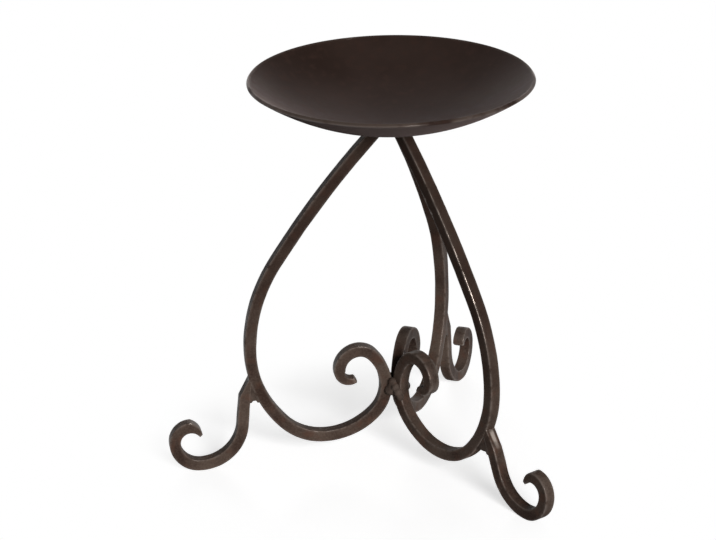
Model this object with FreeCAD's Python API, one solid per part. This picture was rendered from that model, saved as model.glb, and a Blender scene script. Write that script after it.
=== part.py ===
"""Wrought-iron candle stand: a shallow dish welded on three scrolled legs, each with a scrolled foot.

Millimetres, +Z up. The origin is on the floor, under the centre of the dish.
A leg and its foot are drawn in an upright plane, where u runs outwards from the dish's axis and v runs up.
"""

import FreeCAD
import Part
import math
import os

Vector = FreeCAD.Vector

# Dish, pressed from sheet to a piece of a ball
DISH_DIAMETER = 152.4
RIM_HEIGHT = 214.5  # floor to the rim's outer corner
DISH_RISE = 24.0  # lowest point of the underside to the rim's outer corner
DISH_WALL = 2.0
RIM_ROUND = 0.5

# Square bar that the legs and feet are bent from
BAR = 6.35
BAR_EDGE = 0.8

# Leg, with the radii of the bar's centreline from the dish to the scroll in the middle
STEM_BEND = 500.0
SHOULDER_BEND = 90.0
SIDE_BENDS = {"rear": 62.0, "left": 62.0, "right": 53.0}
BOTTOM_BENDS = {"rear": 31.0, "left": 31.0, "right": 35.3}
INNER_BEND = 38.0
HUB_BEND = 23.0
SCROLL_BENDS = (25.8, 9.6, 11.0, 5.2, 4.6)
SCROLL_TIP_TURN = 30.0
SCROLL_TIP = 3.4
STEM_REACH = 5.6  # axis to the bar's centreline, level with the lowest point of the dish
HUB_HEIGHT = 41.5  # where the leg stands upright beside the axis
HUB_GAP = 0.6  # between one leg and the next

# Foot, a second bar from the lap joint on the outside of the leg down to its own scroll
LAP_DROPS = {"rear": 15.5, "left": 15.5, "right": 21.9}  # widest height of the leg to the top of the lap
LAP_DEPTHS = {"rear": 1.7, "left": 1.7, "right": 3.7}  # how far the bar is let in there
SCARF_LENGTH = 11.0
FOOT_SPREAD = 25.6  # widest point of the leg to the lowest point of the foot
FOOT_BENDS = (23.5, 13.8, 8.8, 8.8)
BEAK_TURN = 52.0
BEAK_TIP = 2.2
FOOT_FLAT = 0.3  # ground off under the foot to level the stand

# Welds
LAP_WELD_LENGTH = 9.0
LAP_WELD_INSET = 1.0
LAP_WELD_SAG = 1.2
HUB_WELD_HEIGHT = 15.0
HUB_WELD_WIDTH = 7.4
HUB_WELD_DABS = 3
DISH_WELD_DIAMETER = 23.0
DISH_WELD_DEPTH = 5.5

# The legs share the round equally, anticlockwise from the rear one
LEG_PLACES = ("rear", "left", "right")
REAR_AZIMUTH = 90.0

# Values that follow from the sizes above
QUARTER = math.degrees(math.pi / 2)
EIGHTH = QUARTER / 2
SECTOR = 4 * QUARTER / len(LEG_PLACES)
LEG_AZIMUTHS = {place: REAR_AZIMUTH + index * SECTOR for index, place in enumerate(LEG_PLACES)}
HALF_BAR = BAR / 2
RIM_RADIUS = DISH_DIAMETER / 2
DISH_BALL = (RIM_RADIUS**2 + DISH_RISE**2) / (2 * DISH_RISE)
DISH_BOTTOM = RIM_HEIGHT - DISH_RISE
DISH_CENTRE = Vector(0, 0, DISH_BOTTOM + DISH_BALL)
HUB_INSIDE = (HALF_BAR + HUB_GAP / 2) / math.tan(math.radians(SECTOR / 2))
HUB_RADIUS = HUB_INSIDE + HALF_BAR


def at(u, v):
    """A point of the leg's plane."""
    return Vector(u, 0, v)


def polar(centre, radius, angle):
    """The point at an angle, in degrees, on a circle in the leg's plane."""
    turn = math.radians(angle)
    return centre + at(radius * math.cos(turn), radius * math.sin(turn))


def angle_of(vector):
    """The angle of a direction in the leg's plane, in degrees."""
    return math.degrees(math.atan2(vector.z, vector.x))


def line(first, last):
    return Part.LineSegment(first, last).toShape()


def arc(first, middle, last):
    return Part.Arc(first, middle, last).toShape()


class Bend:
    """A round stretch of bar: its centreline about a centre, from a start angle through a turn.

    A positive turn is anticlockwise. Outside means away from the centre.
    """

    def __init__(self, centre, radius, start, turn):
        self.centre = centre
        self.radius = radius
        self.start = start
        self.turn = turn

    def point(self, offset=0.0, part=1.0):
        """The point that far outside the centreline, after that part of the turn."""
        return polar(self.centre, self.radius + offset, self.start + part * self.turn)

    def heading(self):
        """The direction in which the bar leaves."""
        return self.start + self.turn + math.copysign(QUARTER, self.turn)

    def edge(self, offset):
        return arc(self.point(offset, 0.0), self.point(offset, 0.5), self.point(offset))

    def reverse(self):
        return Bend(self.centre, self.radius, self.start + self.turn, -self.turn)


def bend_chain(point, heading, radii, turns):
    """Bends that follow one another without a kink."""
    chain = []
    for radius, turn in zip(radii, turns):
        side = math.copysign(QUARTER, turn)
        bend = Bend(polar(point, radius, heading + side), radius, heading - side, turn)
        chain.append(bend)
        point = bend.point()
        heading = bend.heading()
    return chain


def arc_onward(start, direction, end):
    """The arc that leaves a point in a direction for another point, and its direction there."""
    chord = end - start
    unit = chord / chord.Length
    cosine = direction.dot(unit)
    bulge = (direction - unit * cosine) * (chord.Length / 2 / (1 + cosine))
    return arc(start, start + chord / 2 + bulge, end), unit * (2 * cosine) - direction


def bar_edges(bends):
    """Both long edges of a bar along its bends."""
    return [bend.edge(offset) for bend in bends for offset in (HALF_BAR, -HALF_BAR)]


def scroll_end(bends, tip, thin_side):
    """The outline of a scroll's last bends, thinned evenly on one side to a square tip.

    The thin side is the offset of the edge that gives way, inside or outside the bends.
    """
    lengths = [(bend.radius - thin_side) * abs(bend.turn) for bend in bends]
    edges = [bend.edge(-thin_side) for bend in bends]
    corner = bends[0].point(thin_side, 0.0)
    direction = polar(Vector(), 1.0, bends[0].start + math.copysign(QUARTER, bends[0].turn))
    for count, bend in enumerate(bends, start=1):
        thickness = BAR - (BAR - tip) * sum(lengths[:count]) / sum(lengths)
        thinned = bend.point(math.copysign(thickness, thin_side) - thin_side)
        edge, direction = arc_onward(corner, direction, thinned)
        edges.append(edge)
        corner = thinned
    other_corner = bends[-1].point(-thin_side)
    return edges + [line(other_corner, corner)], [other_corner, corner]


def bar_solid(free_edges, mating_edges, corners):
    """A square bar over an outline, rounded along its free edges and across the given corners."""
    face = Part.Face(Part.Wire(Part.__sortEdges__(free_edges + mating_edges)))
    face.translate(Vector(0, -HALF_BAR, 0))
    bar = face.extrude(Vector(0, BAR, 0))
    mating = [edge.CenterOfMass for edge in mating_edges]

    def is_among(points, point):
        return any(point.distanceToPoint(other) < BAR_EDGE / 10 for other in points)

    rounded = []
    for edge in bar.Edges:
        spot = at(edge.CenterOfMass.x, edge.CenterOfMass.z)
        if abs(edge.CenterOfMass.y) < HALF_BAR / 2:
            is_free = is_among(corners, spot)
        else:
            is_free = not is_among(mating, spot)
        if is_free:
            rounded.append(edge)
    return bar.makeFillet(BAR_EDGE, rounded)


def leg_bends(bottom_bend, side_bend):
    """The leg's bends in order from the dish to the tip of the scroll, and the one at its side."""
    hub = at(HUB_RADIUS, HUB_HEIGHT)
    bowl = bend_chain(hub, -QUARTER, (HUB_BEND, INNER_BEND, bottom_bend, side_bend), [EIGHTH] * 4)
    scroll_turns = (-EIGHTH, -EIGHTH, -QUARTER, -QUARTER, -SCROLL_TIP_TURN)
    scroll = bend_chain(hub, QUARTER, SCROLL_BENDS, scroll_turns)
    # The stem's circle passes under the dish at its reach and touches the shoulder's circle
    shoulder_centre = bowl[-1].point() - at(SHOULDER_BEND, 0)
    stem_top = at(STEM_REACH, DISH_BOTTOM)
    between = shoulder_centre - stem_top
    distance = between.Length
    radius_gap = STEM_BEND - SHOULDER_BEND
    along = (STEM_BEND**2 - radius_gap**2 + distance**2) / (2 * distance)
    across = math.sqrt(STEM_BEND**2 - along**2)
    toward = between / distance
    stem_centre = stem_top + toward * along + at(toward.z, -toward.x) * across
    touch = angle_of(shoulder_centre - stem_centre)
    # The stem runs on beyond the underside of the dish, to be cut to it
    overrun = math.degrees(2 * BAR / STEM_BEND)
    stem_end = angle_of(stem_top - stem_centre) + overrun
    shoulder = Bend(shoulder_centre, SHOULDER_BEND, 0.0, touch)
    stem = Bend(stem_centre, STEM_BEND, touch, stem_end - touch)
    upward = bowl + [shoulder, stem]
    return [bend.reverse() for bend in reversed(upward)] + scroll, bowl[-1]


def leg_sector():
    """The room that the leg along +X has between its neighbours."""
    far = DISH_DIAMETER
    half = math.radians(SECTOR / 2)
    near = HUB_GAP / 2 / math.sin(half)
    width = (far - near) * math.tan(half)
    corners = [Vector(near, 0, 0), Vector(far, -width, 0), Vector(far, width, 0), Vector(near, 0, 0)]
    return Part.Face(Part.makePolygon(corners)).extrude(Vector(0, 0, RIM_HEIGHT))


def make_long_leg(bends):
    """The leg along +X, mitred against its neighbours and still running on into the dish."""
    end_edges, tip_corners = scroll_end(bends[-2:], SCROLL_TIP, -HALF_BAR)
    free = bar_edges(bends[:-2]) + end_edges
    top = line(bends[0].point(HALF_BAR, 0.0), bends[0].point(-HALF_BAR, 0.0))
    bar = bar_solid(free, [top], tip_corners)
    return bar.common(leg_sector())


class Lap:
    """Where a foot lies on its leg, from the notch at the top to the crotch at the bottom.

    The foot's shank leans so that its inner face runs from the notch, let in by a depth, to the
    outside of the knee, the bend that carries the foot outwards.
    """

    def __init__(self, side, drop, depth):
        self.leg_centre = side.centre
        self.leg_face = side.radius + HALF_BAR
        notch_angle = -math.degrees(math.asin(drop / self.leg_face))
        self.notch = polar(self.leg_centre, self.leg_face, notch_angle)
        self.head = self.notch - at(depth, 0)
        knee_face = FOOT_BENDS[0] + HALF_BAR
        knee_centre = at(self.leg_centre.x + self.leg_face + FOOT_SPREAD, knee_face - FOOT_FLAT)
        span = self.head - knee_centre
        touch = angle_of(span) + math.degrees(math.acos(knee_face / span.Length))
        self.knee = Bend(knee_centre, FOOT_BENDS[0], touch, 3 * QUARTER - touch)
        self.down = polar(Vector(), 1.0, touch + QUARTER)
        # The shank's inner face comes out of the leg's face at the crotch
        offset = self.head - self.leg_centre
        along = offset.dot(self.down)
        lap_length = math.sqrt(self.leg_face**2 - offset.Length**2 + along**2) - along
        self.crotch = self.head + self.down * lap_length


def make_foot(lap):
    """The foot along +X, scarfed, let in against the leg's outer face and level underneath."""
    scroll_turns = (QUARTER, QUARTER, BEAK_TURN)
    bends = [lap.knee] + bend_chain(lap.knee.point(), lap.knee.heading(), FOOT_BENDS[1:], scroll_turns)
    end_edges, tip_corners = scroll_end(bends[-1:], BEAK_TIP, HALF_BAR)
    free = bar_edges(bends[:-1]) + end_edges
    # The shank is left long, then cut to the scarf, the leg's face and the floor
    long_end = []
    for offset in (HALF_BAR, -HALF_BAR):
        start = lap.knee.point(offset, 0.0)
        shank_length = (start - lap.head).dot(lap.down)
        long_end.append(start - lap.down * (shank_length + BAR))
        free.append(line(start, long_end[-1]))
    bar = bar_solid(free, [line(*long_end)], tip_corners)
    outward = at(-lap.down.z, lap.down.x)
    scarf_foot = lap.head + outward * BAR + lap.down * SCARF_LENGTH
    scarf_end = scarf_foot * 2 - lap.notch
    above = lap.down * -(2 * SCARF_LENGTH + BAR)
    scarf = [lap.notch, scarf_end, scarf_end + above, lap.notch + above, lap.notch]
    scarf_block = Part.Face(Part.makePolygon(scarf)).extrude(Vector(0, 2 * BAR, 0))
    scarf_block.translate(Vector(0, -BAR, 0))
    leg_face = Part.makeCylinder(lap.leg_face, 2 * BAR, lap.leg_centre - Vector(0, BAR, 0), Vector(0, 1, 0))
    floor = Part.makeBox(DISH_DIAMETER, 2 * BAR, BAR, Vector(0, -BAR, -BAR))
    return bar.cut([scarf_block, leg_face, floor])


def make_lap_weld(lap):
    """The weld that fills the crotch between the leg's outer face and the foot's shank."""
    spread = math.degrees(LAP_WELD_LENGTH / lap.leg_face)
    top = angle_of(lap.crotch - lap.leg_centre)
    leg_middle = polar(lap.leg_centre, lap.leg_face, top - spread / 2)
    leg_end = polar(lap.leg_centre, lap.leg_face, top - spread)
    foot_end = lap.crotch + lap.down * LAP_WELD_LENGTH
    hollow = (leg_end + foot_end) / 2
    hollow += (lap.crotch - hollow).normalize() * LAP_WELD_SAG
    edges = [arc(lap.crotch, leg_middle, leg_end), arc(leg_end, hollow, foot_end), line(foot_end, lap.crotch)]
    face = Part.Face(Part.Wire(edges))
    face.translate(Vector(0, LAP_WELD_INSET - HALF_BAR, 0))
    return face.extrude(Vector(0, BAR - 2 * LAP_WELD_INSET, 0))


def bowl_curve(centre, ball, reach):
    """The curve of a bowl, as a piece of a ball, from its lowest point to a distance from the axis."""
    return Bend(centre, ball, -QUARTER, math.degrees(math.asin(reach / ball)))


def round_solid(edges):
    """A solid of revolution about the dish's axis."""
    face = Part.Face(Part.Wire(Part.__sortEdges__(edges)))
    return face.revolve(Vector(), Vector(0, 0, 1), 4 * QUARTER)


def make_dish():
    """The saucer with its rim cut square to the sheet and softened."""
    under = bowl_curve(DISH_CENTRE, DISH_BALL, RIM_RADIUS)
    dish = round_solid([
        under.edge(0.0),
        line(under.point(), under.point(-DISH_WALL)),
        under.edge(-DISH_WALL),
        line(under.point(-DISH_WALL, 0.0), under.point(0.0, 0.0)),
    ])
    rim = [e for e in dish.Edges if e.Closed and e.CenterOfMass.z > RIM_HEIGHT - RIM_ROUND]
    return dish.makeFillet(RIM_ROUND, rim)


def make_hub_weld(legs):
    """Dabs of weld stacked in the three grooves between the legs, joined through the middle."""
    dab = HUB_WELD_WIDTH / 2
    step = (HUB_WELD_HEIGHT - HUB_WELD_WIDTH) / (HUB_WELD_DABS - 1)
    lowest = HUB_HEIGHT - step * (HUB_WELD_DABS - 1) / 2
    groove = HUB_INSIDE / math.cos(math.radians(SECTOR / 2)) + BAR_EDGE
    weld = Part.makeCylinder(HUB_INSIDE, HUB_WELD_HEIGHT, Vector(0, 0, HUB_HEIGHT - HUB_WELD_HEIGHT / 2))
    for azimuth in LEG_AZIMUTHS.values():
        side = math.radians(azimuth + SECTOR / 2)
        for index in range(HUB_WELD_DABS):
            spot = Vector(groove * math.cos(side), groove * math.sin(side), lowest + index * step)
            weld = weld.fuse(Part.makeSphere(dab, spot))
    return weld.cut(legs)


def make_dish_weld(legs):
    """The puddle of weld under the dish, round the ends of the three legs."""
    reach = DISH_WELD_DIAMETER / 2
    under = bowl_curve(DISH_CENTRE, DISH_BALL, reach)
    lowest = DISH_BOTTOM - DISH_WELD_DEPTH
    rise = under.point().z - lowest
    ball = (reach**2 + rise**2) / (2 * rise)
    puddle = bowl_curve(at(0, lowest + ball), ball, reach)
    middle = line(puddle.point(0.0, 0.0), under.point(0.0, 0.0))
    weld = round_solid([puddle.edge(0.0), under.edge(0.0), middle])
    # The weld's seam goes midway between two legs, clear of their edges
    return around(weld, REAR_AZIMUTH + SECTOR / 2).cut(legs)


def around(shape, azimuth):
    """A copy of a shape turned about the dish's axis."""
    turned = shape.copy()
    turned.rotate(Vector(), Vector(0, 0, 1), azimuth)
    return turned


def save(name, shape):
    (solid,) = shape.Solids
    solid.exportStep(os.path.join("parts", name + ".step"))


def main():
    os.makedirs("parts", exist_ok=True)
    dish_ball = Part.makeSphere(DISH_BALL, DISH_CENTRE)
    long_legs = []
    for place, azimuth in LEG_AZIMUTHS.items():
        bends, side = leg_bends(BOTTOM_BENDS[place], SIDE_BENDS[place])
        lap = Lap(side, LAP_DROPS[place], LAP_DEPTHS[place])
        long_legs.append(around(make_long_leg(bends), azimuth))
        save(place + "_leg", long_legs[-1].cut(dish_ball))
        save(place + "_foot", around(make_foot(lap), azimuth))
        save(place + "_lap_weld", around(make_lap_weld(lap), azimuth))
    save("dish", make_dish())
    save("hub_weld", make_hub_weld(long_legs))
    save("dish_weld", make_dish_weld(long_legs))


main()
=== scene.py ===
"""Wrought-iron candle stand: forged bars, weld beads and a beaten dish under brown lacquer.

Metres, +Z up. A leg and its foot are shaped in the upright plane of X and Z, with X outwards from
the dish's axis, and their copies are then turned to their places round that axis. Angles are in
degrees and a positive turn is anticlockwise, from X towards Z.
"""

import bmesh
import bpy
import math
import random
from collections import namedtuple
from mathutils import Matrix, Vector


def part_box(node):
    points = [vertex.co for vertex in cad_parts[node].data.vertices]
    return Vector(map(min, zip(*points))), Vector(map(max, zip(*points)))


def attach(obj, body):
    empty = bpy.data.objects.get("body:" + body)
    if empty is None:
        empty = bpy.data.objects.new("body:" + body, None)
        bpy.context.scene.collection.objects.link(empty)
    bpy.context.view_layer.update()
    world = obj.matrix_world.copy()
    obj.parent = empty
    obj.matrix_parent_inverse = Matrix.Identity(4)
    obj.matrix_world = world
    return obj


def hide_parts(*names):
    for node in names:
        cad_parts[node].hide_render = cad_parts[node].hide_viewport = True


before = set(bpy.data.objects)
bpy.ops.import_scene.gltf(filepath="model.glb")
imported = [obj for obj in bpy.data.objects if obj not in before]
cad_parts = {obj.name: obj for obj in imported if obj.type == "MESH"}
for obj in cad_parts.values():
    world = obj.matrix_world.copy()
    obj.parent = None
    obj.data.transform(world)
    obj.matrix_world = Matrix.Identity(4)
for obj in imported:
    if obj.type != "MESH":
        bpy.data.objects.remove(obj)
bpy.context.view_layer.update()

MM = 0.001
BODY = "root"
LEG_AZIMUTHS = {"rear": 90.0, "left": 210.0, "right": 330.0}
QUARTER = 90.0
EIGHTH = QUARTER / 2
SECTOR = 360.0 / len(LEG_AZIMUTHS)
DOWNWARD = 3 * QUARTER
NORMAL_SLACK = EIGHTH / 2
SAME_PLACE = MM / 1000

# Square bar
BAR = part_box("rear_leg")[1].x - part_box("rear_leg")[0].x
HALF_BAR = BAR / 2
BAR_EDGE = 0.55 * MM
EDGE_SEGMENTS = 4
FACE_CUTS = 4
RING_STEP = 1.3 * MM

# Legs, with the radii of the bar's middle line; the right one was bent fuller and lapped lower.
# The two shines are how bright the foot's scarf is worn bare by grinding, with a painted highlight
# on it, and how bright a painted glint is on the front edge of the stem.
LegShape = namedtuple(
    "LegShape", "places bottom_bend side_bend lap_drop lap_depth scarf_shine stem_shine"
)
LEG_SHAPES = (
    LegShape(("rear", "left"), 31.0 * MM, 62.0 * MM, 15.5 * MM, 1.7 * MM, 0.0, 0.0),
    LegShape(("right",), 35.3 * MM, 53.0 * MM, 21.9 * MM, 3.7 * MM, 2.4, 1.6),
)
HUB_HEIGHT = 41.5 * MM
HUB_GAP = 0.6 * MM
HUB_INSIDE = (HALF_BAR + HUB_GAP / 2) / math.tan(math.radians(SECTOR / 2))
HUB_BEND = 23.0 * MM
INNER_BEND = 38.0 * MM
SHOULDER_BEND = 90.0 * MM
STEM_BEND = 500.0 * MM
STEM_REACH = 5.6 * MM
STEM_OVERRUN = 2 * BAR
STEM_SUNK = 0.8 * MM
# A painted glint on the front edge of the right stem, standing in for the key lamp's highlight
STEM_GLINT = (74.0 * MM, 104.0 * MM, 195.0 * MM)  # lower end, brightest place, upper end
SCROLL_BENDS = (25.8 * MM, 9.6 * MM, 11.0 * MM, 5.2 * MM, 4.6 * MM)
SCROLL_TURNS = (-EIGHTH, -EIGHTH, -QUARTER, -QUARTER, -30.0)
SCROLL_TIP = 3.4 * MM
TIP_REACH = 0.9 * MM
TIP_ANGLES = (35.0, 60.0, 78.0)
TIP_FULLNESS = 0.5

# Feet
SCARF_LENGTH = 11.0 * MM
SCARF_STREAK = 1.5 * MM
FOOT_SPREAD = 25.6 * MM
FOOT_BENDS = (23.5 * MM, 13.8 * MM, 8.8 * MM, 8.8 * MM)
FOOT_SCROLL_TURNS = (QUARTER, QUARTER, 52.0)
BEAK_TIP = 2.2 * MM
FOOT_FLAT = 0.3 * MM

# Dish
RIM_RADIUS = 76.2 * MM
DISH_RISE = 24.0 * MM
DISH_WALL = 2.0 * MM
RIM_ROUND = 0.5 * MM
RIM_SEGMENTS = 3
RIM_SPARE = 0.05 * MM
DISH_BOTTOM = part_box("dish")[0].z
DISH_BALL = (RIM_RADIUS**2 + DISH_RISE**2) / (2 * DISH_RISE)
DISH_SEGMENTS = 192
DISH_RINGS = 180

# Welds
DAB_SEGMENTS = 24
DAB_RINGS = 16
WELD_SKIN = 0.3 * MM
WELD_FLOW = 10
GROOVE_DABS = (  # in mm: outwards along the groove, aside, above the hub's height, radius
    (4.0, 0.0, 0.0, 3.2),
    (5.2, -0.6, -2.2, 3.4),
    (4.8, 0.4, 2.4, 2.6),
)
FRONT_GROOVE = 270.0
FRONT_DABS = (
    (6.2, 2.6, 0.2, 2.5),
    (7.2, 4.4, -2.2, 2.6),
    (7.8, 5.8, -4.4, 2.3),
)
LAP_WEB_LENGTH = 8.6 * MM
LAP_DAB = 1.2 * MM
LAP_INSET = 0.12 * MM
DISH_WELD_RADIUS = 9.5 * MM
DISH_WELD_DEPTH = 4.6 * MM
DISH_WELD_SUNK = 0.8 * MM
DISH_DABS = 4  # from each leg to the next
DISH_DAB = 2.4 * MM
DISH_DAB_STRAY = 6.0
DISH_DAB_REACH = (0.85, 1.05)
DISH_DAB_SIZES = (0.8, 1.15)
DISH_DAB_SEED = 5

# Marks beaten into the surface; below its level a mark goes inwards, and above it outwards
WAVE_SIZE = 40.0 * MM
WAVE_DEPTH = 0.15 * MM
WAVE_LEVEL = 0.9
HAMMER_SIZE = 15.0 * MM
HAMMER_DEPTH = 0.3 * MM
SCALE_SIZE = 3.0 * MM
SCALE_DEPTH = 0.08 * MM
BAR_LEVELS = {"leg": 0.5, "foot": 0.75}
WEB_DEPTH = 0.15 * MM
BEAD_DEPTH = 0.6 * MM
BEAD_LEVEL = 0.75

# Camera, found by fitting the stand's outline
CAMERA_AZIMUTH = 20.91
CAMERA_ELEVATION = 21.68
CAMERA_ROLL = -0.98
CAMERA_DISTANCE = 1.64
CAMERA_AIM = Vector((-19.3, -2.7, 106.0)) * MM
CAMERA_LENS = 153.15
SENSOR_WIDTH = 36.0

# Light: a low key lamp from the front right, and white paper that takes the shadow near the stand.
# The lamps are suns. The back one only lightens the far side and makes no highlights.
Lamp = namedtuple("Lamp", "azimuth elevation width strength highlights")
LAMPS = {
    "key": Lamp(314.0, 21.0, 24.0, 2.8, True),
    "back": Lamp(115.0, 5.0, 30.0, 1.8, False),
}
LAMPS_ON_FLOOR = sum(
    lamp.strength / math.pi * math.sin(math.radians(lamp.elevation)) for lamp in LAMPS.values()
)
WORLD_LIGHT = 0.08
CEILING_RISE = (0.3, 0.75)
CEILING_LOOK = 0.05
WHITE = (1, 1, 1, 1)
BLACK = (0, 0, 0, 1)
FLOOR_SIZE = 8.0
FLOOR_COLOUR = (0.9, 0.9, 0.9, 1)
FLOOR_LIT = FLOOR_COLOUR[0] * (LAMPS_ON_FLOOR + WORLD_LIGHT)
SHADOW_REACH = 85.0 * MM
SHADOW_END = 150.0 * MM

# Lacquer with metal in it. Painted shade darkens the bars and welds higher up, where the dish
# shades the stems.
UNSHADED_BELOW = 40.0 * MM
FULLY_SHADED_ABOVE = 130.0 * MM
PAINTED_SHADE_COLOUR = (0.029, 0.0170, 0.0130, 1)
PATCH_DETAILS = {"Patch Size": 3.0, "Mottle Size": 4.0, "Skin Size": 2.0}
PATCH_SPAN = (0.32, 0.68)
NOISE_MIDDLE = 0.5
SKIN_SHARE = 0.5
SKIN_DEPTH = 0.3 * MM
WARM_MOTTLE = (0.55, 1.0)
WARM_SHARE = 0.6
UNDERSIDE_FACING = (-0.2, -0.5)
UNDERSIDE_ROUGHNESS = 0.85
SHEEN = 0.02
DUST_AND_SHEEN_COLOUR = (0.95, 0.75, 0.71, 1)
# A painted sheen pales the middle of the dish's hollow
PAINTED_SHEEN_SHARE = 0.014
PAINTED_SHEEN_REACH = (20.0 * MM, 62.0 * MM)

# Edges on which the lacquer is worn thin and shiny; their paler colour is in part a painted
# highlight standing in for glints
EDGE_SPAN = (0.505, 0.545)
EDGE_WEAR_AND_GLINT = 0.25
EDGE_BREAK = 3.0 * MM
BREAK_DETAIL = 3.0
BREAK_SPAN = (0.32, 0.50)
EDGE_TINT = (0.55, 0.50, 0.47, 1)
EDGE_COAT = 0.4
COAT_ROUGHNESS = 0.14
EDGE_ROUGHNESS = 0.22

# Sockets of a Mix node that share their names, by number
VALUE_A, VALUE_B, VALUE_MIXED = 2, 3, 0
COLOUR_A, COLOUR_B, COLOUR_MIXED = 6, 7, 2


def select_only(piece):
    bpy.ops.object.select_all(action="DESELECT")
    piece.select_set(True)
    bpy.context.view_layer.objects.active = piece


def start_piece(name):
    """Names the primitive just added, puts its place in its mesh and opens it for shaping."""
    piece = bpy.context.object
    piece.name = name
    bpy.ops.object.transform_apply(location=True, rotation=True, scale=True)
    bpy.ops.object.mode_set(mode="EDIT")
    return piece


def select_where(piece, is_wanted):
    """In edit mode, selects what lies between vertices whose place passes a test."""
    bpy.ops.mesh.select_mode(type="VERT")
    bpy.ops.mesh.select_all(action="DESELECT")
    mesh = bmesh.from_edit_mesh(piece.data)
    for vertex in mesh.verts:
        vertex.select_set(is_wanted(vertex.co))
    mesh.select_flush(True)
    bmesh.update_edit_mesh(piece.data)


def apply_modifiers(piece):
    select_only(piece)
    for modifier in list(piece.modifiers):
        bpy.ops.object.modifier_apply(modifier=modifier.name)


def cloud_texture(name, size):
    texture = bpy.data.textures.new(name, type="CLOUDS")
    texture.noise_scale = size
    texture.noise_depth = 1
    return texture


def roughen(piece, level, *marks):
    """Makes the surface uneven by marks, each given as a texture and its depth."""
    for texture, depth in marks:
        modifier = piece.modifiers.new(texture.name, "DISPLACE")
        modifier.texture = texture
        modifier.texture_coords = "LOCAL"
        modifier.mid_level = level
        modifier.strength = depth
    apply_modifiers(piece)


def direction(angle):
    turn = math.radians(angle)
    return Vector((math.cos(turn), 0, math.sin(turn)))


def angle_of(vector):
    return math.degrees(math.atan2(vector.z, vector.x))


class Bend:
    """A round stretch of bar: its middle line about a centre, from a start angle through a turn."""

    def __init__(self, centre, radius, start, turn):
        self.centre = centre
        self.radius = radius
        self.start = start
        self.turn = turn

    def angle(self, part=1.0):
        return self.start + part * self.turn

    def point(self, offset=0.0, part=1.0):
        """The point that far outside the middle line, after that part of the turn."""
        return self.centre + direction(self.angle(part)) * (self.radius + offset)

    def heading(self, part=1.0):
        return self.angle(part) + math.copysign(QUARTER, self.turn)

    def steps(self):
        """How many rings the bend needs."""
        return max(2, round(self.radius * math.radians(abs(self.turn)) / RING_STEP))

    def reverse(self):
        return Bend(self.centre, self.radius, self.angle(), -self.turn)


def bend_chain(point, heading, radii, turns):
    """Bends that follow one another without a kink."""
    chain = []
    for radius, turn in zip(radii, turns):
        side = math.copysign(QUARTER, turn)
        bend = Bend(point + direction(heading + side) * radius, radius, heading - side, turn)
        chain.append(bend)
        point = bend.point()
        heading = bend.heading()
    return chain


def leg_bends(shape):
    """The leg's bends in order from the dish to the tip of the scroll, and the one at its side."""
    hub = Vector((HUB_INSIDE + HALF_BAR, 0, HUB_HEIGHT))
    bowl_bends = (HUB_BEND, INNER_BEND, shape.bottom_bend, shape.side_bend)
    bowl = bend_chain(hub, -QUARTER, bowl_bends, [EIGHTH] * len(bowl_bends))
    scroll = bend_chain(hub, QUARTER, SCROLL_BENDS, SCROLL_TURNS)
    # The stem's circle passes under the dish at its reach and touches the shoulder's circle
    shoulder_centre = bowl[-1].point() - Vector((SHOULDER_BEND, 0, 0))
    stem_top = Vector((STEM_REACH, 0, DISH_BOTTOM))
    between = shoulder_centre - stem_top
    distance = between.length
    radius_gap = STEM_BEND - SHOULDER_BEND
    along = (STEM_BEND**2 - radius_gap**2 + distance**2) / (2 * distance)
    across = math.sqrt(STEM_BEND**2 - along**2)
    toward = between / distance
    stem_centre = stem_top + toward * along + Vector((toward.z, 0, -toward.x)) * across
    touch = angle_of(shoulder_centre - stem_centre)
    overrun = math.degrees(STEM_OVERRUN / STEM_BEND)
    stem_end = angle_of(stem_top - stem_centre) + overrun
    shoulder = Bend(shoulder_centre, SHOULDER_BEND, 0.0, touch)
    stem = Bend(stem_centre, STEM_BEND, touch, stem_end - touch)
    upward = bowl + [shoulder, stem]
    return [bend.reverse() for bend in reversed(upward)] + scroll, bowl[-1]


class Lap:
    """Where a foot lies on its leg, from the notch at the top to the crotch at the bottom.

    The foot's shank leans so that its inner face runs from the notch, let in by a depth, to the
    outside of the knee, the bend that carries the foot outwards.
    """

    def __init__(self, side, drop, depth):
        self.leg_centre = side.centre
        self.leg_face = side.radius + HALF_BAR
        notch_angle = -math.degrees(math.asin(drop / self.leg_face))
        self.notch = self.leg_centre + direction(notch_angle) * self.leg_face
        self.head = self.notch - Vector((depth, 0, 0))
        knee_face = FOOT_BENDS[0] + HALF_BAR
        knee_reach = self.leg_centre.x + self.leg_face + FOOT_SPREAD
        knee_centre = Vector((knee_reach, 0, knee_face - FOOT_FLAT))
        span = self.head - knee_centre
        touch = angle_of(span) + math.degrees(math.acos(knee_face / span.length))
        self.knee = Bend(knee_centre, FOOT_BENDS[0], touch, DOWNWARD - touch)
        self.down = direction(touch + QUARTER)
        self.outward = direction(touch + 2 * QUARTER)
        # The shank's inner face comes out of the leg's face at the crotch
        offset = self.head - self.leg_centre
        along = offset.dot(self.down)
        lap_length = math.sqrt(self.leg_face**2 - offset.length_squared + along**2) - along
        self.crotch = self.head + self.down * lap_length


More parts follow.
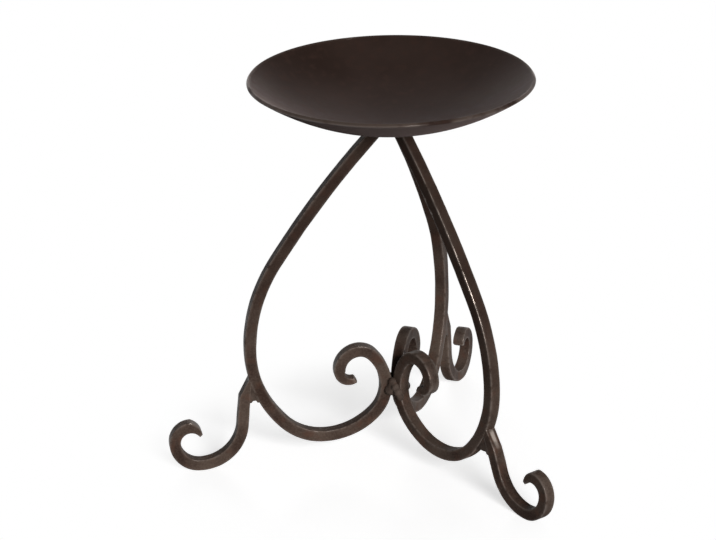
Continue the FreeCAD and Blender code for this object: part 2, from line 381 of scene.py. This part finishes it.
def add_bar_end(name, point, heading):
    """A rounded square across the bar's heading, left selected in edit mode."""
    bpy.ops.object.select_all(action="DESELECT")
    tilt = (0, math.radians(QUARTER - heading), 0)
    bpy.ops.mesh.primitive_plane_add(size=BAR, location=point, rotation=tilt)
    piece = start_piece(name)
    bpy.ops.mesh.select_all(action="SELECT")
    bpy.ops.mesh.bevel(offset=BAR_EDGE, segments=EDGE_SEGMENTS, affect="VERTICES")
    bpy.ops.mesh.delete(type="ONLY_FACE")
    bpy.ops.mesh.select_mode(type="EDGE")
    bpy.ops.mesh.select_all(action="DESELECT")
    mesh = bmesh.from_edit_mesh(piece.data)
    for edge in mesh.edges:
        edge.select_set(edge.calc_length() > HALF_BAR)
    bmesh.update_edit_mesh(piece.data)
    bpy.ops.mesh.subdivide(number_cuts=FACE_CUTS)
    bpy.ops.mesh.select_all(action="SELECT")
    bpy.ops.mesh.edge_face_add()
    return piece


def spin_end(bend, steps):
    """Carries the selected end of the bar round a bend."""
    angle = math.radians(bend.turn)
    bpy.ops.mesh.spin(steps=steps, angle=angle, center=bend.centre, axis=(0, 1, 0))


def push_end(shift):
    """Carries the selected end of the bar straight on."""
    bpy.ops.mesh.extrude_region_move(TRANSFORM_OT_translate={"value": shift})


def push_end_evenly(shift):
    """Carries the selected end of the bar straight on, in rings."""
    rings = round(shift.length / RING_STEP)
    for _ in range(rings):
        push_end(shift / rings)


def squeeze_end(ratio, fixed, angle):
    """Thins the selected end of the bar along an angle, towards a fixed point."""
    bpy.ops.transform.resize(
        value=(ratio, 1, 1),
        orient_type="GLOBAL",
        orient_matrix=Matrix.Rotation(-math.radians(angle), 3, "Y"),
        orient_matrix_type="GLOBAL",
        center_override=fixed,
    )


def round_tip(middle, ahead):
    """Rounds the selected end of the bar like a blunt, hammered tip."""
    reach, size = 0.0, 1.0
    for angle in TIP_ANGLES:
        turn = math.radians(angle)
        further = TIP_REACH * math.sin(turn)
        smaller = math.cos(turn) ** TIP_FULLNESS
        push_end(ahead * (further - reach))
        ratio = smaller / size
        bpy.ops.transform.resize(value=[ratio] * 3, center_override=middle + ahead * further)
        reach, size = further, smaller


def spin_scroll_end(bends, tip, fixed_side):
    """Carries the selected end round a scroll's last bends while it thins evenly to a blunt tip.

    The fixed side is the offset of the edge that keeps to its bends.
    """
    rings = sum(bend.steps() for bend in bends)
    thickness = BAR
    for bend in bends:
        steps = bend.steps()
        for step in range(steps):
            short = Bend(bend.centre, bend.radius, bend.angle(step / steps), bend.turn / steps)
            spin_end(short, 1)
            thinner = thickness - (BAR - tip) / rings
            squeeze_end(thinner / thickness, short.point(fixed_side), short.angle())
            thickness = thinner
    middle = bends[-1].point(fixed_side - math.copysign(tip / 2, fixed_side))
    round_tip(middle, direction(bends[-1].heading()))


def close_piece():
    """Joins doubled vertices, turns all faces outwards and leaves edit mode."""
    bpy.ops.mesh.select_all(action="SELECT")
    bpy.ops.mesh.remove_doubles(threshold=SAME_PLACE)
    bpy.ops.mesh.normals_make_consistent(inside=False)
    bpy.ops.object.mode_set(mode="OBJECT")


def cut_away(point, normal):
    """Cuts the open piece at a plane, takes away what is in front of it and closes the cut."""
    bpy.ops.mesh.select_all(action="SELECT")
    bpy.ops.mesh.bisect(
        plane_co=point,
        plane_no=normal,
        use_fill=True,
        clear_outer=True,
        threshold=SAME_PLACE,
    )


def mark_ground_and_glint(piece, shine_at):
    """Notes a brightness on a piece's vertices: grinding with a painted highlight on a scarf, a
    painted glint on a stem's edge.
    """
    ground_and_glint = piece.data.attributes.new("ground_and_glint", "FLOAT", "POINT")
    for vertex, mark in zip(piece.data.vertices, ground_and_glint.data):
        mark.value = shine_at(vertex)


def painted_stem_glint(shine):
    """How bright a painted glint is on a vertex on the front edge of the leg's stem."""
    lower, brightest, upper = STEM_GLINT
    least = math.sin(math.radians(NORMAL_SLACK))

    def shine_at(vertex):
        height = vertex.co.z
        end = lower if height < brightest else upper
        near = max(1.0 - (height - brightest) / (end - brightest), 0.0)
        on_edge = vertex.normal.x > least and vertex.normal.y < -least
        return shine * near if on_edge else 0.0

    return shine_at


def scarf_grinding_and_highlight(lap, shine):
    """How bright a vertex on the foot's scarf is worn bare by grinding, in a streak that fades
    downwards, partly a painted highlight.
    """
    scarf_foot = lap.head + lap.outward * BAR + lap.down * SCARF_LENGTH
    along = (scarf_foot - lap.notch).normalized()
    scarf_facing = Vector((-along.z, 0, along.x))
    least = math.cos(math.radians(NORMAL_SLACK))

    def shine_at(vertex):
        below = (vertex.co - lap.notch).dot(lap.down) / SCARF_LENGTH
        on_scarf = below < 1.0 and vertex.normal.dot(scarf_facing) > least
        in_streak = abs(vertex.co.y) < SCARF_STREAK
        return shine * (1.0 - max(below, 0.0)) if on_scarf and in_streak else 0.0

    return shine_at


def make_leg(bends, shine):
    """The leg along +X, cut under the dish and mitred against its neighbours."""
    leg = add_bar_end("leg", bends[0].point(0.0, 0.0), bends[0].heading(0.0))
    for bend in bends[:-2]:
        spin_end(bend, bend.steps())
    spin_scroll_end(bends[-2:], SCROLL_TIP, HALF_BAR)
    cut_away((0, 0, DISH_BOTTOM + STEM_SUNK), (0, 0, 1))
    for side in (1, -1):
        turn = math.radians(side * (SECTOR / 2 + QUARTER))
        across = Vector((math.cos(turn), math.sin(turn), 0))
        cut_away(across * -HUB_GAP / 2, across)
    close_piece()
    mark_ground_and_glint(leg, painted_stem_glint(shine))
    return leg


def make_foot(lap, shape):
    """The foot along +X: a scarf that lies on the leg, a shank, a scroll and its beak."""
    scarf_foot = lap.head + lap.outward * HALF_BAR + lap.down * SCARF_LENGTH
    foot = add_bar_end("foot", scarf_foot, angle_of(-lap.down))
    rings = round(SCARF_LENGTH / RING_STEP)
    thickness = BAR
    for _ in range(rings):
        push_end(lap.down * (-SCARF_LENGTH / rings))
        thinner = thickness - (BAR - shape.lap_depth) / rings
        squeeze_end(thinner / thickness, lap.head, angle_of(lap.outward))
        thickness = thinner
    select_where(foot, lambda place: (place - scarf_foot).dot(lap.down) > -RING_STEP / 2)
    knee_start = lap.knee.point(0.0, 0.0)
    push_end_evenly(lap.down * (knee_start - scarf_foot).dot(lap.down))
    scroll = bend_chain(lap.knee.point(), lap.knee.heading(), FOOT_BENDS[1:], FOOT_SCROLL_TURNS)
    for bend in [lap.knee] + scroll[:-1]:
        spin_end(bend, bend.steps())
    spin_scroll_end(scroll[-1:], BEAK_TIP, -HALF_BAR)
    close_piece()
    mark_ground_and_glint(foot, scarf_grinding_and_highlight(lap, shape.scarf_shine))
    return foot


def turned_copies(master, places, ending):
    """A copy of a piece for each of these places, turned to it; the master goes."""
    copies = {}
    for place in places:
        select_only(master)
        bpy.ops.object.duplicate()
        copy = bpy.context.object
        copy.name = place + ending
        copy.rotation_euler.z = math.radians(LEG_AZIMUTHS[place])
        bpy.ops.object.transform_apply(location=True, rotation=True, scale=True)
        copies[place] = copy
    bpy.data.objects.remove(master)
    return copies


def make_dish():
    """The saucer: a piece of a ball with a wall, its rim cut square to the sheet and softened."""
    bpy.ops.object.select_all(action="DESELECT")
    bpy.ops.mesh.primitive_uv_sphere_add(
        segments=DISH_SEGMENTS,
        ring_count=DISH_RINGS,
        radius=DISH_BALL,
        location=(0, 0, DISH_BOTTOM + DISH_BALL),
    )
    dish = start_piece("dish_shell")
    bpy.ops.object.mode_set(mode="OBJECT")
    roughen(dish, WAVE_LEVEL, (cloud_texture("beaten_waves", WAVE_SIZE), WAVE_DEPTH))
    bpy.ops.object.mode_set(mode="EDIT")
    bpy.ops.mesh.select_all(action="SELECT")
    rim_height = DISH_BOTTOM + DISH_RISE - RIM_SPARE
    bpy.ops.mesh.bisect(plane_co=(0, 0, rim_height), plane_no=(0, 0, 1), clear_outer=True)
    bpy.ops.object.mode_set(mode="OBJECT")
    wall = dish.modifiers.new("wall", "SOLIDIFY")
    wall.thickness = DISH_WALL
    wall.offset = -1
    wall.use_even_offset = True
    rim = dish.modifiers.new("rim", "BEVEL")
    rim.width = RIM_ROUND
    rim.segments = RIM_SEGMENTS
    rim.limit_method = "ANGLE"
    rim.angle_limit = math.radians(EIGHTH)
    apply_modifiers(dish)
    return dish


def add_dabs(name, dabs):
    """Balls of weld, each with a place and its half sizes, run together under one skin."""
    bpy.ops.object.select_all(action="DESELECT")
    piece = None
    for place, size in dabs:
        bpy.ops.mesh.primitive_uv_sphere_add(
            segments=DAB_SEGMENTS,
            ring_count=DAB_RINGS,
            radius=1,
            location=place,
            scale=size,
        )
        if piece is None:
            piece = start_piece(name)
    bpy.ops.object.mode_set(mode="OBJECT")
    skin = piece.modifiers.new("skin", "REMESH")
    skin.mode = "VOXEL"
    skin.voxel_size = WELD_SKIN
    flow = piece.modifiers.new("flow", "SMOOTH")
    flow.iterations = WELD_FLOW
    apply_modifiers(piece)
    return piece


def trim(piece, *cuts):
    """Cuts a piece at planes, each given as a point and the way it faces."""
    select_only(piece)
    bpy.ops.object.mode_set(mode="EDIT")
    for point, normal in cuts:
        cut_away(point, normal)
    bpy.ops.object.mode_set(mode="OBJECT")


def hub_dabs():
    """Lumps of weld in the three grooves between the legs."""
    for azimuth in LEG_AZIMUTHS.values():
        groove = azimuth + SECTOR / 2
        turn = Matrix.Rotation(math.radians(groove), 3, "Z")
        dabs = GROOVE_DABS + FRONT_DABS if groove == FRONT_GROOVE else GROOVE_DABS
        for outwards, aside, above, radius in dabs:
            place = turn @ Vector((outwards, aside, above)) * MM
            yield place + Vector((0, 0, HUB_HEIGHT)), [radius * MM] * 3


def lap_dabs(lap):
    """The web in the crotch under the lap, filled from side to side, with a hollow lower edge."""
    dabs = round(LAP_WEB_LENGTH / LAP_DAB)
    for index in range(dabs + 1):
        shank = lap.crotch + lap.down * (LAP_WEB_LENGTH * index / dabs)
        leg_reach = math.sqrt(lap.leg_face**2 - (shank.z - lap.leg_centre.z) ** 2)
        leg = Vector((lap.leg_centre.x + leg_reach, 0, shank.z))
        half_gap = (shank.x - leg.x) / 2
        if index < dabs:
            yield (shank + leg) / 2, (half_gap + LAP_DAB, BAR, LAP_DAB)
        else:
            for face in (shank, leg):
                yield face, (LAP_DAB, BAR, LAP_DAB)


def dish_dabs(chance):
    """The puddle under the dish and the dabs round the leg ends."""
    yield Vector((0, 0, DISH_BOTTOM)), (DISH_WELD_RADIUS, DISH_WELD_RADIUS, DISH_WELD_DEPTH)
    for azimuth in LEG_AZIMUTHS.values():
        for index in range(DISH_DABS):
            stray = chance.uniform(-DISH_DAB_STRAY, DISH_DAB_STRAY)
            turn = math.radians(azimuth + SECTOR * (index + 0.5) / DISH_DABS + stray)
            reach = DISH_WELD_RADIUS * chance.uniform(*DISH_DAB_REACH)
            place = Vector((reach * math.cos(turn), reach * math.sin(turn), DISH_BOTTOM))
            yield place, [DISH_DAB * chance.uniform(*DISH_DAB_SIZES)] * 3


def make_pieces():
    """Every piece, as its object, the node it stands for and its finish."""
    hammer_marks = cloud_texture("hammer_marks", HAMMER_SIZE)
    scale_marks = cloud_texture("scale_marks", SCALE_SIZE)
    bar_marks = ((hammer_marks, HAMMER_DEPTH), (scale_marks, SCALE_DEPTH))
    for shape in LEG_SHAPES:
        bends, side = leg_bends(shape)
        lap = Lap(side, shape.lap_drop, shape.lap_depth)
        masters = {"leg": make_leg(bends, shape.stem_shine), "foot": make_foot(lap, shape)}
        for kind, master in masters.items():
            for place, bar in turned_copies(master, shape.places, f"_{kind}_bar").items():
                roughen(bar, BAR_LEVELS[kind], *bar_marks)
                if kind == "foot":
                    trim(bar, ((0, 0, 0), (0, 0, -1)))
                yield bar, f"{place}_{kind}", "bar_iron"
        web = add_dabs("web", lap_dabs(lap))
        flush = HALF_BAR - LAP_INSET
        trim(web, ((0, flush, 0), (0, 1, 0)), ((0, -flush, 0), (0, -1, 0)))
        for place, bead in turned_copies(web, shape.places, "_lap_bead").items():
            roughen(bead, BEAD_LEVEL, (scale_marks, WEB_DEPTH))
            yield bead, f"{place}_lap_weld", "weld_iron"
    hub = add_dabs("hub_beads", hub_dabs())
    roughen(hub, BEAD_LEVEL, (scale_marks, BEAD_DEPTH))
    yield hub, "hub_weld", "weld_iron"
    under_dish = add_dabs("dish_beads", dish_dabs(random.Random(DISH_DAB_SEED)))
    roughen(under_dish, BEAD_LEVEL, (scale_marks, BEAD_DEPTH))
    trim(under_dish, ((0, 0, DISH_BOTTOM + DISH_WELD_SUNK), (0, 0, 1)))
    yield under_dish, "dish_weld", "weld_iron"
    yield make_dish(), "dish", "dish_iron"


def set_inputs(tree, node, inputs):
    """Sets a node's inputs to values, or links them to sockets."""
    for name, value in inputs.items():
        if isinstance(value, bpy.types.NodeSocket):
            tree.links.new(value, node.inputs[name])
        else:
            node.inputs[name].default_value = value


def add_node(tree, kind, inputs, **settings):
    node = tree.nodes.new(kind)
    for name, value in settings.items():
        setattr(node, name, value)
    set_inputs(tree, node, inputs)
    return node


def maths(tree, operation, *values, **settings):
    inputs = dict(enumerate(values))
    return add_node(tree, "ShaderNodeMath", inputs, operation=operation, **settings).outputs[0]


def remap(tree, value, low, high, to_low=0.0, to_high=1.0, **settings):
    """A value carried from one span to another, and kept inside that."""
    inputs = {
        "Value": value,
        "From Min": low,
        "From Max": high,
        "To Min": to_low,
        "To Max": to_high,
    }
    return add_node(tree, "ShaderNodeMapRange", inputs, **settings).outputs[0]


def mix_value(tree, share, first, second):
    inputs = {"Factor": share, VALUE_A: first, VALUE_B: second}
    return add_node(tree, "ShaderNodeMix", inputs, data_type="FLOAT").outputs[VALUE_MIXED]


def mix_colour(tree, share, first, second):
    inputs = {"Factor": share, COLOUR_A: first, COLOUR_B: second}
    return add_node(tree, "ShaderNodeMix", inputs, data_type="RGBA").outputs[COLOUR_MIXED]


def place_on_piece(tree):
    return add_node(tree, "ShaderNodeTexCoord", {}).outputs["Object"]


def upward_part(tree, vector):
    return add_node(tree, "ShaderNodeSeparateXYZ", {0: vector}).outputs["Z"]


def facing_up(tree):
    """How far the surface faces upwards, from -1 to 1."""
    return upward_part(tree, add_node(tree, "ShaderNodeNewGeometry", {}).outputs["Normal"])


def away_from_axis(tree):
    """How far a place is from the dish's axis."""
    flattened = {0: place_on_piece(tree), 1: (1, 1, 0)}
    level = add_node(tree, "ShaderNodeVectorMath", flattened, operation="MULTIPLY").outputs[0]
    return add_node(tree, "ShaderNodeVectorMath", {0: level}, operation="LENGTH").outputs["Value"]


def noise(tree, size, detail):
    """Soft spots of about a size, from 0 to 1."""
    inputs = {
        "Vector": place_on_piece(tree),
        "Scale": maths(tree, "DIVIDE", 1.0, size),
        "Detail": detail,
    }
    return add_node(tree, "ShaderNodeTexNoise", inputs).outputs["Fac"]


def new_group(name, inputs, outputs):
    """An empty shader group, from its inputs' names and values and its outputs' names."""
    group = bpy.data.node_groups.new(name, "ShaderNodeTree")
    sockets = group.interface
    for socket, value in inputs.items():
        made = sockets.new_socket(socket, in_out="INPUT", socket_type="NodeSocketFloat")
        made.default_value = value
    for socket in outputs:
        sockets.new_socket(socket, in_out="OUTPUT", socket_type="NodeSocketFloat")
    return group, group.nodes.new("NodeGroupInput").outputs, group.nodes.new("NodeGroupOutput")


def patch_group():
    """Uneven lacquer: cloudy patches, finer mottling, its skin's height and how high up it is."""
    inputs = {
        "Patch Size": 14.0 * MM,
        "Mottle Size": 2.5 * MM,
        "Skin Size": 0.6 * MM,
        "Grain": 0.6,
    }
    outputs = ("Patches", "Mottle", "Height", "Above")
    group, given, result = new_group("uneven_lacquer", inputs, outputs)
    patches, mottle, skin = (
        noise(group, given[size], detail) for size, detail in PATCH_DETAILS.items()
    )
    clouds = remap(group, patches, *PATCH_SPAN)
    fine = maths(group, "SUBTRACT", skin, NOISE_MIDDLE)
    grainy = maths(group, "MULTIPLY_ADD", fine, given["Grain"], clouds, use_clamp=True)
    looks = {
        "Patches": grainy,
        "Mottle": remap(group, mottle, *PATCH_SPAN),
        "Height": maths(group, "MULTIPLY_ADD", skin, SKIN_SHARE, mottle),
        "Above": remap(group, upward_part(group, place_on_piece(group)), UNSHADED_BELOW, FULLY_SHADED_ABOVE),
    }
    set_inputs(group, result, looks)
    return group


def edge_group():
    """Where the lacquer is worn on edges that stand out, broken up by a noise; the mask also lays a
    painted highlight on those edges.
    """
    inputs = {"Low": EDGE_SPAN[0], "High": EDGE_SPAN[1], "Break Size": EDGE_BREAK}
    group, given, result = new_group("rubbed_edges_and_glints", inputs, ("Rubbed And Glint",))
    edge = add_node(group, "ShaderNodeNewGeometry", {}).outputs["Pointiness"]
    stands_out = remap(group, edge, given["Low"], given["High"])
    broken = remap(group, noise(group, given["Break Size"], BREAK_DETAIL), *BREAK_SPAN)
    set_inputs(group, result, {"Rubbed And Glint": maths(group, "MULTIPLY", stands_out, broken)})
    return group


def lacquer(
    name,
    groups,
    dark,
    light,
    warm,
    rubbed_and_glint,
    gloss,
    patches,
    bump,
    dust=0.0,
    painted_shade=0.0,
    edge=EDGE_SPAN,
    wear_and_glint=EDGE_WEAR_AND_GLINT,
    edge_break=EDGE_BREAK,
):
    """Brown lacquer on iron, from its colours, span of roughness and the sizes of its patches."""
    material = bpy.data.materials.new(name)
    material.use_nodes = True
    tree = material.node_tree
    uneven = add_node(tree, "ShaderNodeGroup", patches, node_tree=groups["uneven"]).outputs
    edge_inputs = {"Low": edge[0], "High": edge[1], "Break Size": edge_break}
    edges = add_node(tree, "ShaderNodeGroup", edge_inputs, node_tree=groups["edges"])
    worn_edge_and_glint = edges.outputs["Rubbed And Glint"]

    body = mix_colour(tree, uneven["Patches"], dark, light)
    warmth = remap(tree, uneven["Mottle"], *WARM_MOTTLE, to_high=WARM_SHARE)
    toned = mix_colour(tree, warmth, body, warm)
    # Painted shade: the colour darkens from low down to high up, standing in for the dish's shadow
    # on the stems and the floor lighting them less.
    depth = maths(tree, "MULTIPLY", uneven["Above"], painted_shade)
    shaded = mix_colour(tree, depth, toned, PAINTED_SHADE_COLOUR)

    # Painted highlight and glint: the scarf's grinding streak and the stem's edge glint, read from
    # the mesh, pale the colour and make it metallic.
    ground_and_glint = add_node(tree, "ShaderNodeAttribute", {}, attribute_name="ground_and_glint").outputs["Fac"]
    scraped_and_glint = maths(tree, "MULTIPLY", ground_and_glint, uneven["Mottle"])
    # Worn edges, paled partly as a painted highlight for edge glints
    thinned_and_glint = maths(tree, "MULTIPLY", worn_edge_and_glint, wear_and_glint)
    bare_and_glint = maths(tree, "MAXIMUM", thinned_and_glint, scraped_and_glint)

    satin = remap(tree, uneven["Mottle"], 0.0, 1.0, *gloss)
    polished = mix_value(tree, worn_edge_and_glint, satin, EDGE_ROUGHNESS)
    underside = remap(tree, facing_up(tree), *UNDERSIDE_FACING, to_high=UNDERSIDE_ROUGHNESS)
    skin = {"Height": uneven["Height"], "Strength": bump, "Distance": SKIN_DEPTH}

    looks = {
        "Base Color": mix_colour(tree, bare_and_glint, shaded, rubbed_and_glint),
        "Metallic": bare_and_glint,
        "Roughness": maths(tree, "MAXIMUM", polished, underside),
        "Normal": add_node(tree, "ShaderNodeBump", skin).outputs[0],
        "Specular IOR Level": SHEEN,
        "Specular Tint": EDGE_TINT,
        "Sheen Weight": dust,
        "Sheen Tint": DUST_AND_SHEEN_COLOUR,
        "Coat Weight": maths(tree, "MULTIPLY", worn_edge_and_glint, EDGE_COAT),
        "Coat Roughness": COAT_ROUGHNESS,
    }
    set_inputs(tree, tree.nodes["Principled BSDF"], looks)
    return material


def paint_hollow_sheen(material):
    """A painted sheen: the base colour paled in the middle of a hollow, on what faces upwards."""
    tree = material.node_tree
    colour = tree.nodes["Principled BSDF"].inputs["Base Color"]
    away = away_from_axis(tree)
    sheen_by_distance = remap(tree, away, *PAINTED_SHEEN_REACH, PAINTED_SHEEN_SHARE, 0.0, interpolation_type="SMOOTHSTEP")
    share = maths(tree, "MULTIPLY", sheen_by_distance, facing_up(tree), use_clamp=True)
    sheened = mix_colour(tree, share, colour.links[0].from_socket, DUST_AND_SHEEN_COLOUR)
    tree.links.new(sheened, colour)


def make_finishes():
    groups = {"uneven": patch_group(), "edges": edge_group()}
    bar = lacquer(
        "bar_lacquer",
        groups,
        dark=(0.043, 0.0265, 0.0205, 1),
        light=(0.106, 0.076, 0.060, 1),
        warm=(0.096, 0.050, 0.035, 1),
        rubbed_and_glint=(0.46, 0.39, 0.34, 1),
        gloss=(0.32, 0.48),
        patches={
            "Patch Size": 22.0 * MM,
            "Mottle Size": 6.0 * MM,
            "Skin Size": 0.9 * MM,
            "Grain": 1.2,
        },
        bump=0.35,
        # painted shade, darker higher up on the bars
        painted_shade=0.65,
    )
    dish = lacquer(
        "dish_lacquer",
        groups,
        dark=(0.0240, 0.0135, 0.0100, 1),
        light=(0.036, 0.022, 0.0175, 1),
        warm=(0.041, 0.022, 0.0165, 1),
        rubbed_and_glint=(0.34, 0.27, 0.23, 1),
        gloss=(0.36, 0.46),
        patches={
            "Patch Size": 40.0 * MM,
            "Mottle Size": 5.0 * MM,
            "Skin Size": 0.7 * MM,
            "Grain": 0.4,
        },
        bump=0.15,
        dust=0.138,
        wear_and_glint=0.3,
        edge_break=14.0 * MM,
    )
    # Painted sheen paling the middle of the dish
    paint_hollow_sheen(dish)
    weld = lacquer(
        "weld_lacquer",
        groups,
        dark=(0.050, 0.034, 0.027, 1),
        light=(0.105, 0.079, 0.065, 1),
        warm=(0.095, 0.058, 0.044, 1),
        rubbed_and_glint=(0.36, 0.31, 0.27, 1),
        gloss=(0.26, 0.42),
        patches={
            "Patch Size": 6.0 * MM,
            "Mottle Size": 3.0 * MM,
            "Skin Size": 0.8 * MM,
        },
        bump=0.5,
        # painted shade, darker higher up on the welds
        painted_shade=0.65,
        wear_and_glint=0.3,
        edge=(0.56, 0.68),
    )
    return {"bar_iron": bar, "dish_iron": dish, "weld_iron": weld}


def seen_rays(tree):
    """1 for rays that show the background, straight or in a reflection, and 0 for others."""
    path = add_node(tree, "ShaderNodeLightPath", {})
    shown = path.outputs["Is Camera Ray"]
    for ray in ("Is Glossy Ray", "Is Transmission Ray"):
        shown = maths(tree, "MAXIMUM", shown, path.outputs[ray])
    return shown


def make_floor():
    """White paper round the stand that takes its shadow, and glows plain white further out."""
    bpy.ops.object.select_all(action="DESELECT")
    bpy.ops.mesh.primitive_plane_add(size=FLOOR_SIZE, location=(0, 0, 0))
    floor = bpy.context.object
    floor.name = "floor"
    material = bpy.data.materials.new("pale_floor")
    material.use_nodes = True
    tree = material.node_tree
    tree.nodes.clear()
    away = away_from_axis(tree)
    far = remap(tree, away, SHADOW_REACH, SHADOW_END, interpolation_type="SMOOTHSTEP")
    paper = mix_colour(tree, far, FLOOR_COLOUR, BLACK)
    white = remap(tree, far, 0.0, 1.0, 1.0 - FLOOR_LIT, 1.0)
    strength = maths(tree, "MULTIPLY", white, seen_rays(tree))
    matt = add_node(tree, "ShaderNodeBsdfDiffuse", {"Color": paper}).outputs[0]
    glow = add_node(tree, "ShaderNodeEmission", {"Strength": strength}).outputs[0]
    both = add_node(tree, "ShaderNodeAddShader", {0: matt, 1: glow}).outputs[0]
    add_node(tree, "ShaderNodeOutputMaterial", {"Surface": both})
    floor.data.materials.append(material)


def make_world():
    """A white studio that darkens towards its ceiling, and lights more softly than it looks."""
    world = bpy.data.worlds.new("studio")
    bpy.context.scene.world = world
    world.use_nodes = True
    tree = world.node_tree
    rise = upward_part(tree, add_node(tree, "ShaderNodeTexCoord", {}).outputs["Generated"])
    look = remap(tree, rise, *CEILING_RISE, 1.0, CEILING_LOOK)
    strength = mix_value(tree, seen_rays(tree), WORLD_LIGHT, look)
    set_inputs(tree, tree.nodes["Background"], {"Color": WHITE, "Strength": strength})


def make_lamps():
    for name, lamp in LAMPS.items():
        turn = math.radians(lamp.azimuth)
        rise = math.radians(lamp.elevation)
        level = math.cos(rise)
        away = Vector((math.cos(turn) * level, math.sin(turn) * level, math.sin(rise)))
        sun = bpy.data.lights.new(name, "SUN")
        sun.angle = math.radians(lamp.width)
        sun.energy = lamp.strength
        sun_object = bpy.data.objects.new(name, sun)
        sun_object.rotation_euler = away.to_track_quat("Z", "Y").to_euler()
        sun_object.visible_glossy = lamp.highlights
        bpy.context.scene.collection.objects.link(sun_object)


def make_camera():
    camera = bpy.data.cameras.new("camera")
    camera.sensor_fit = "HORIZONTAL"
    camera.sensor_width = SENSOR_WIDTH
    camera.lens = CAMERA_LENS
    turn = (
        Matrix.Rotation(math.radians(CAMERA_AZIMUTH), 4, "Z")
        @ Matrix.Rotation(math.radians(QUARTER - CAMERA_ELEVATION), 4, "X")
        @ Matrix.Rotation(math.radians(CAMERA_ROLL), 4, "Z")
    )
    camera_object = bpy.data.objects.new("camera", camera)
    place = CAMERA_AIM + turn.to_3x3() @ Vector((0, 0, CAMERA_DISTANCE))
    camera_object.matrix_world = Matrix.Translation(place) @ turn
    bpy.context.scene.collection.objects.link(camera_object)
    bpy.context.scene.camera = camera_object


finishes = make_finishes()
for piece, node, slot in make_pieces():
    select_only(piece)
    bpy.ops.object.shade_smooth_by_angle(angle=math.radians(EIGHTH))
    piece.data.materials.clear()
    piece.data.materials.append(finishes[slot])
    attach(piece, BODY)
    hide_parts(node)

make_floor()
make_world()
make_lamps()
make_camera()
bpy.context.scene.view_settings.view_transform = "Standard"
